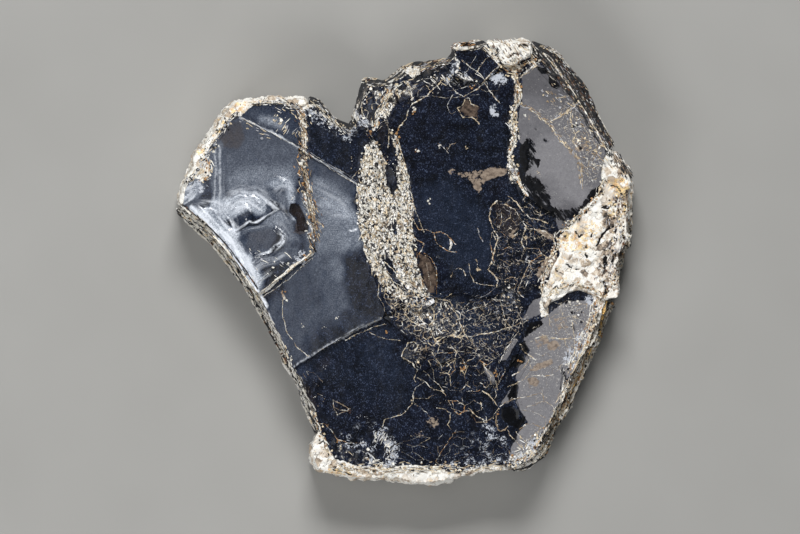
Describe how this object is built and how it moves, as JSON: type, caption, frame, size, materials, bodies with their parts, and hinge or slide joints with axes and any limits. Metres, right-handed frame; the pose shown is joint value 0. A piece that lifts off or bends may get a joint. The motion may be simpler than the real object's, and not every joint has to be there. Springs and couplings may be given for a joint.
{
  "type": "biotite mica specimen",
  "caption": "Broad cleaved book of dark biotite mica in two intergrown lobes, lying flat, with layered edges and pale feldspar clinging to its rim.",
  "frame": {"origin": "under the middle of the specimen's bounding box, on the flat back cleavage face that it lies on", "axes": "+Z out of the cleaved front face, across the sheets; +Y towards the edge with the notch between the two lobes; +X towards the edge with the broad lump of feldspar"},
  "size_m": [0.1094, 0.1073, 0.0196],
  "materials": {
    "biotite": "glossy cleaved mica sheets, blue-black with grey silvery reflections, cream veins between the plates",
    "feldspar": "matt to dull pearly, white to cream with yellow-brown stains and dark specks"
  },
  "bodies": {
    "root": {"biotite_book": "biotite", "feldspar_left_rim": "feldspar", "feldspar_top_cap": "feldspar", "feldspar_right_flank": "feldspar", "feldspar_bottom_rim": "feldspar"}
  },
  "joints": []
}
